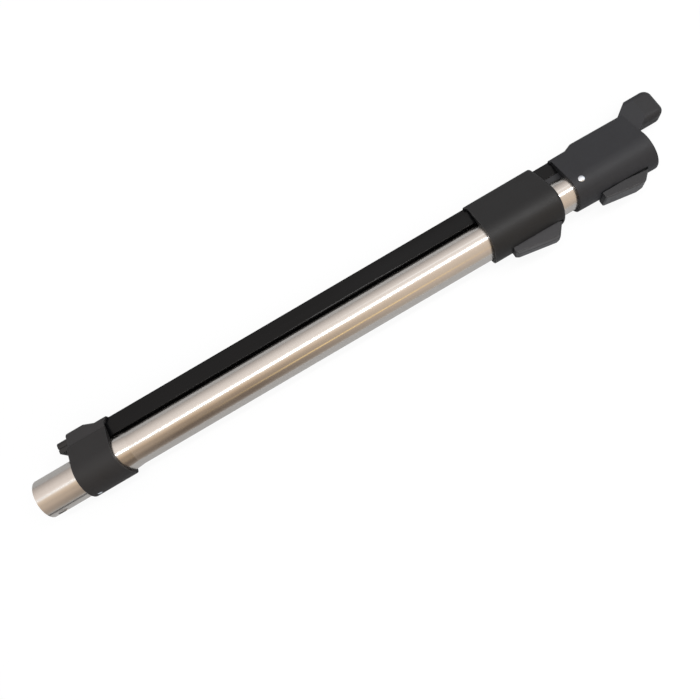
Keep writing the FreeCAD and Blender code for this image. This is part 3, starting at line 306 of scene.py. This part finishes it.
CONDUIT_START, CONDUIT_END = 74, 504
CONDUIT_STATIONS = 44
CONDUIT_HALF_WIDTH = 9
CONDUIT_LOW, CONDUIT_TOP = 17.8, 34.7                           # from the wand's axis
CONDUIT_WALL = 1.3
CONDUIT_EDGE = 0.7                                              # radius of its edges
CONDUIT_CROWN = 6.0                                             # radius of the bend in its sides
EDGE_STEPS = 5
CROWN_STEPS = 8
LEAST_LEAN = 5                                                  # degrees that its sides lean at the ends
MORE_LEAN = 15                                                  # degrees more in the lamp's reflection
LEAN_PLACE = 335
LEAN_REACH = 75
CREASE = math.radians(35)                                       # edges that turn by more are creases


def arc(side, up, radius, start, end, steps):
    """Points on an arc, its angles in degrees from across towards up."""
    turns = [math.radians(start + (end - start) * i / steps) for i in range(steps + 1)]
    return [(side + radius * math.cos(turn), up + radius * math.sin(turn)) for turn in turns]


def conduit_section(lean):
    """Outline of the conduit, anticlockwise. Its sides fall away by lean degrees towards the tube."""
    turn = math.radians(lean)
    low = CONDUIT_LOW + CONDUIT_EDGE
    crown_side = CONDUIT_HALF_WIDTH - CONDUIT_CROWN
    crown_up = low + (CONDUIT_CROWN - CONDUIT_EDGE) * math.sin(turn)
    edge_side = crown_side + (CONDUIT_CROWN - CONDUIT_EDGE) * math.cos(turn)
    near = arc(edge_side, low, CONDUIT_EDGE, -90, -lean, EDGE_STEPS)
    near += arc(crown_side, crown_up, CONDUIT_CROWN, -lean, 0, CROWN_STEPS)[1:]
    near += arc(CONDUIT_HALF_WIDTH - CONDUIT_EDGE, CONDUIT_TOP - CONDUIT_EDGE, CONDUIT_EDGE,
                0, 90, EDGE_STEPS)
    return near + [(-side, up) for side, up in reversed(near)]


def conduit_cavity(points):
    """Outline of the conduit's inside, shared out over as many points, corners kept."""
    half = CONDUIT_HALF_WIDTH - CONDUIT_WALL
    low, top = CONDUIT_LOW + CONDUIT_WALL, CONDUIT_TOP - CONDUIT_WALL
    corners = [(half, low), (half, top), (-half, top), (-half, low)]
    steps = points // len(corners)
    return [(start[0] + (end[0] - start[0]) * k / steps, start[1] + (end[1] - start[1]) * k / steps)
            for start, end in zip(corners, corners[1:] + corners[:1]) for k in range(steps)]


def band(work, ring, following, flip=False):
    """Faces between two outlines with as many points."""
    count = len(ring)
    for i in range(count):
        corners = [ring[i], ring[(i + 1) % count], following[(i + 1) % count], following[i]]
        work.faces.new(reversed(corners) if flip else corners)


def outer_conduit():
    """The conduit as a closed tube along X."""
    work = bmesh.new()
    cavity = conduit_cavity(len(conduit_section(LEAST_LEAN)))
    outside, inside = [], []
    for i in range(CONDUIT_STATIONS):
        station = CONDUIT_START + (CONDUIT_END - CONDUIT_START) * i / (CONDUIT_STATIONS - 1)
        lean = LEAST_LEAN + MORE_LEAN * math.exp(-((station - LEAN_PLACE) / LEAN_REACH) ** 2)
        for rings, outline in ((outside, conduit_section(lean)), (inside, cavity)):
            rings.append([work.verts.new((Vector((station, 0, 0)) + SIDE * side + UP * up) * MM)
                          for side, up in outline])
    for i in range(CONDUIT_STATIONS - 1):
        band(work, outside[i], outside[i + 1])
        band(work, inside[i], inside[i + 1], flip=True)
    band(work, inside[0], outside[0])
    band(work, outside[-1], inside[-1])
    bmesh.ops.recalc_face_normals(work, faces=work.faces)
    for face in work.faces:
        face.smooth = True
    mesh = bpy.data.meshes.new("outer_conduit_body")
    work.to_mesh(mesh)
    work.free()
    mesh.materials.append(FINISHES["outer_conduit"])
    mesh.set_sharp_from_angle(angle=CREASE)
    add_piece(mesh, "outer_conduit")


SMALL_ROUNDING = 0.3 * MM

outer_conduit()
softened("nozzle_collar")
softened("plug_cover")
softened("nozzle_plug", SMALL_ROUNDING)
softened("clamp_sleeve")
softened("handle_coupling", SMALL_ROUNDING, clamp=True)
softened("socket_housing", SMALL_ROUNDING, clamp=True)
# The levers' sides away from UP are painted lighter, as painted light.
softened("latch_lever", outer=painted_lit_plastic)
softened("catch_lever", outer=painted_lit_plastic)


# Floor and backdrop

WHITE = (1.0, 1.0, 1.0)
FLOOR_TONE = (0.45, 0.45, 0.45)                                 # the floor as it lights the wand
FLOOR_SIZE = 40
FLOOR_SHOWN = 0.9                                               # share of plain white that the camera sees
FLOOR_REFLECTED = 0.1                                           # share of plain white that the wand mirrors
ROOM_LOW, ROOM_TOP = (0.12, 0.12, 0.12), (1.0, 1.0, 1.0)        # the room's light from below and above


def plane(name, centre, turn, length, width, material):
    """A flat sheet, length along X. Turn is about X, and 0 faces down."""
    mesh = bpy.data.meshes.new(name)
    half_length, half_width = length / 2, width / 2
    corners = [(-half_length, -half_width, 0), (-half_length, half_width, 0),
               (half_length, half_width, 0), (half_length, -half_width, 0)]
    mesh.from_pydata(corners, [], [(0, 1, 2, 3)])
    mesh.materials.append(material)
    sheet = bpy.data.objects.new(name, mesh)
    sheet.location = centre
    sheet.rotation_euler = (turn, 0, 0)
    bpy.context.collection.objects.link(sheet)
    return sheet


def white_floor():
    """A floor that shows nearly white, keeps the wand's shadow and lights the wand less."""
    material = bpy.data.materials.new("white_floor")
    tree = Wiring(material)
    rays = tree.add("LightPath", {})
    tone = tree.ramp(rays.outputs["Is Camera Ray"], [(0.0, FLOOR_TONE), (1.0, WHITE)])
    diffuse = tree.add("BsdfDiffuse", {"Color": tone})
    glow = tree.add("Emission", {})
    mix = tree.add("MixShader", {"Fac": tree.shown(FLOOR_SHOWN, FLOOR_REFLECTED),
                                 1: diffuse.outputs["BSDF"], 2: glow.outputs["Emission"]})
    tree.add("OutputMaterial", {"Surface": mix.outputs["Shader"]})
    plane("floor", (MIDDLE, 0, FLOOR), 0, FLOOR_SIZE, FLOOR_SIZE, material)


def studio():
    """A world that shows white, and lights the wand mostly from above."""
    world = bpy.data.worlds.new("studio")
    bpy.context.scene.world = world
    tree = Wiring(world)
    coordinates = tree.add("TexCoord", {})
    parts = tree.add("SeparateXYZ", {"Vector": coordinates.outputs["Generated"]})
    light = tree.ramp(parts.outputs["Z"], [(0.0, ROOM_LOW), (1.0, ROOM_TOP)])
    room = tree.add("Background", {"Color": light})
    backdrop = tree.add("Background", {"Color": (*WHITE, 1)})
    mix = tree.add("MixShader", {"Fac": tree.shown(1.0, 1.0),
                                 1: room.outputs["Background"], 2: backdrop.outputs["Background"]})
    tree.add("OutputWorld", {"Surface": mix.outputs["Shader"]})


white_floor()
studio()


# Reflector cards, which only reflections show

LIGHT_REACH = 1.2                                               # from the wand's axis to the lamps and cards
LIGHT_LENGTH = 3.6
NEARER = 0.02                                                   # how far a glint's card is in front
COLOUR_A, COLOUR_B, BLENDED = 6, 7, 2                           # a Mix node's sockets for colours


def overhead(angle, reach, place=MIDDLE):
    """A place at that angle from straight up, towards the conduit's side."""
    turn = math.radians(angle)
    return Vector((place, reach * math.sin(turn), reach * math.cos(turn)))


def reflector(name, centre, turn, length, width, material):
    """A sheet that only reflections show."""
    sheet = plane(name, centre, turn, length, width, material)
    for ray in ("visible_camera", "visible_diffuse", "visible_shadow", "visible_transmission"):
        setattr(sheet, ray, False)


def card(name, rows, fades, reach=LIGHT_REACH):
    """A reflector card along the wand, with bands of colour.

    Each row is a band's angle from straight up, its colour, and its other colour between the fades. Each
    fade is a pair of places along X, from none of the other colour to all of it. Without other colours
    the card is clear outside its fades.
    """
    middle = math.radians(rows[-1][0] + rows[0][0]) / 2
    half = math.radians(rows[-1][0] - rows[0][0]) / 2
    material = bpy.data.materials.new(name)
    tree = Wiring(material)
    coordinates = tree.add("TexCoord", {})
    parts = tree.add("SeparateXYZ", {"Vector": coordinates.outputs["Generated"]})
    across = [(math.tan(math.radians(row[0]) - middle) / math.tan(half) + 1) / 2 for row in rows]
    _, *colours = zip(*rows)
    looks = [tree.ramp(parts.outputs["Y"], list(zip(across, column))) for column in colours]
    share = 1.0
    for fade in fades:
        start, end = ((place - MIDDLE) / LIGHT_LENGTH + 0.5 for place in fade)
        share = tree.arithmetic("MULTIPLY", share, tree.spread(parts.outputs["X"], start, end))
    if len(looks) == 2:
        blend = tree.add("Mix", {0: share, COLOUR_A: looks[0], COLOUR_B: looks[1]}, data_type="RGBA")
        shown = tree.add("Emission", {"Color": blend.outputs[BLENDED]}).outputs["Emission"]
    else:
        clear = tree.add("BsdfTransparent", {})
        glow = tree.add("Emission", {"Color": looks[0]})
        faded = tree.add("MixShader", {"Fac": share, 1: clear.outputs["BSDF"], 2: glow.outputs["Emission"]})
        shown = faded.outputs["Shader"]
    tree.add("OutputMaterial", {"Surface": shown})
    reflector(name, overhead(math.degrees(middle), reach), -middle, LIGHT_LENGTH, 2 * reach * math.tan(half),
              material)


COOL_FADES = [(-0.70, -0.20)]
WARM_FADES = [(-0.80, -0.20), (0.55, 0.02)]

card("cool_card", [
    (15, (1.10, 1.02, 0.95), (1.25, 1.20, 1.17)),
    (24, (1.00, 0.90, 0.84), (1.14, 1.06, 1.00)),
    (42, (0.90, 0.81, 0.75), (1.05, 0.98, 0.93)),
    (58, (0.77, 0.69, 0.64), (0.90, 0.84, 0.80)),
], COOL_FADES)
card("side_card", [
    (58, (0.77, 0.69, 0.64), (0.90, 0.84, 0.80)),
    (75, (0.60, 0.54, 0.50), (0.66, 0.61, 0.58)),
    (96, (0.45, 0.42, 0.40), (0.38, 0.36, 0.35)),
], COOL_FADES)
card("side_glint", [
    (36, (1.05, 0.99, 0.95)),
    (41.5, (1.45, 1.42, 1.40)),
    (47, (1.02, 0.97, 0.93)),
], [(0.30, 0.50)], LIGHT_REACH - NEARER)
card("warm_card", [
    (-40, (0.82, 0.68, 0.55), (0.33, 0.25, 0.18)),
    (-24, (0.86, 0.73, 0.60), (0.40, 0.30, 0.21)),
    (-12, (0.90, 0.76, 0.62), (0.72, 0.54, 0.37)),
    (0, (1.00, 0.86, 0.74), (0.93, 0.77, 0.60)),
    (4, (1.15, 1.05, 0.96), (1.10, 1.00, 0.90)),
    (8, (1.28, 1.22, 1.16), (1.25, 1.18, 1.10)),
], WARM_FADES)
card("brown_card", [
    (-92, (0.62, 0.57, 0.52), (0.42, 0.37, 0.33)),
    (-76, (0.62, 0.54, 0.46), (0.19, 0.15, 0.12)),
    (-60, (0.74, 0.62, 0.52), (0.16, 0.12, 0.09)),
    (-40, (0.82, 0.68, 0.55), (0.33, 0.25, 0.18)),
], WARM_FADES)
card("gold_glint", [
    (-49, (0.70, 0.54, 0.33)),
    (-45, (1.75, 1.30, 0.62)),
    (-41, (0.70, 0.54, 0.33)),
], [(0.0, 0.24), (0.75, 0.45)], LIGHT_REACH - NEARER)


def low_flag():
    """A small dark card beside the bare end, low down, for the dark line along it."""
    material = bpy.data.materials.new("low_flag")
    tree = Wiring(material)
    glow = tree.add("Emission", {"Color": (0.02, 0.015, 0.01, 1)})
    tree.add("OutputMaterial", {"Surface": glow.outputs["Emission"]})
    reflector("low_flag", (-0.094, -0.13, -0.0132), math.radians(90), 0.212, 0.017, material)


low_flag()


# Lamps

def area_lamp(name, angle, place, length, width, power):
    """A long soft lamp over the wand, facing its axis."""
    lamp = bpy.data.lights.new(name, "AREA")
    lamp.shape = "RECTANGLE"
    lamp.size = length
    lamp.size_y = width
    lamp.energy = power
    holder = bpy.data.objects.new(name, lamp)
    holder.location = overhead(angle, LIGHT_REACH, place)
    holder.rotation_euler = (-math.radians(angle), 0, 0)
    bpy.context.collection.objects.link(holder)
    return holder


area_lamp("strip_lamp", angle=11.5, place=0.66, length=1.72, width=0.09, power=7.8)
side_lamp = area_lamp("side_lamp", angle=-73, place=0.5, length=1.2, width=0.5, power=4.0)
side_lamp.visible_glossy = False
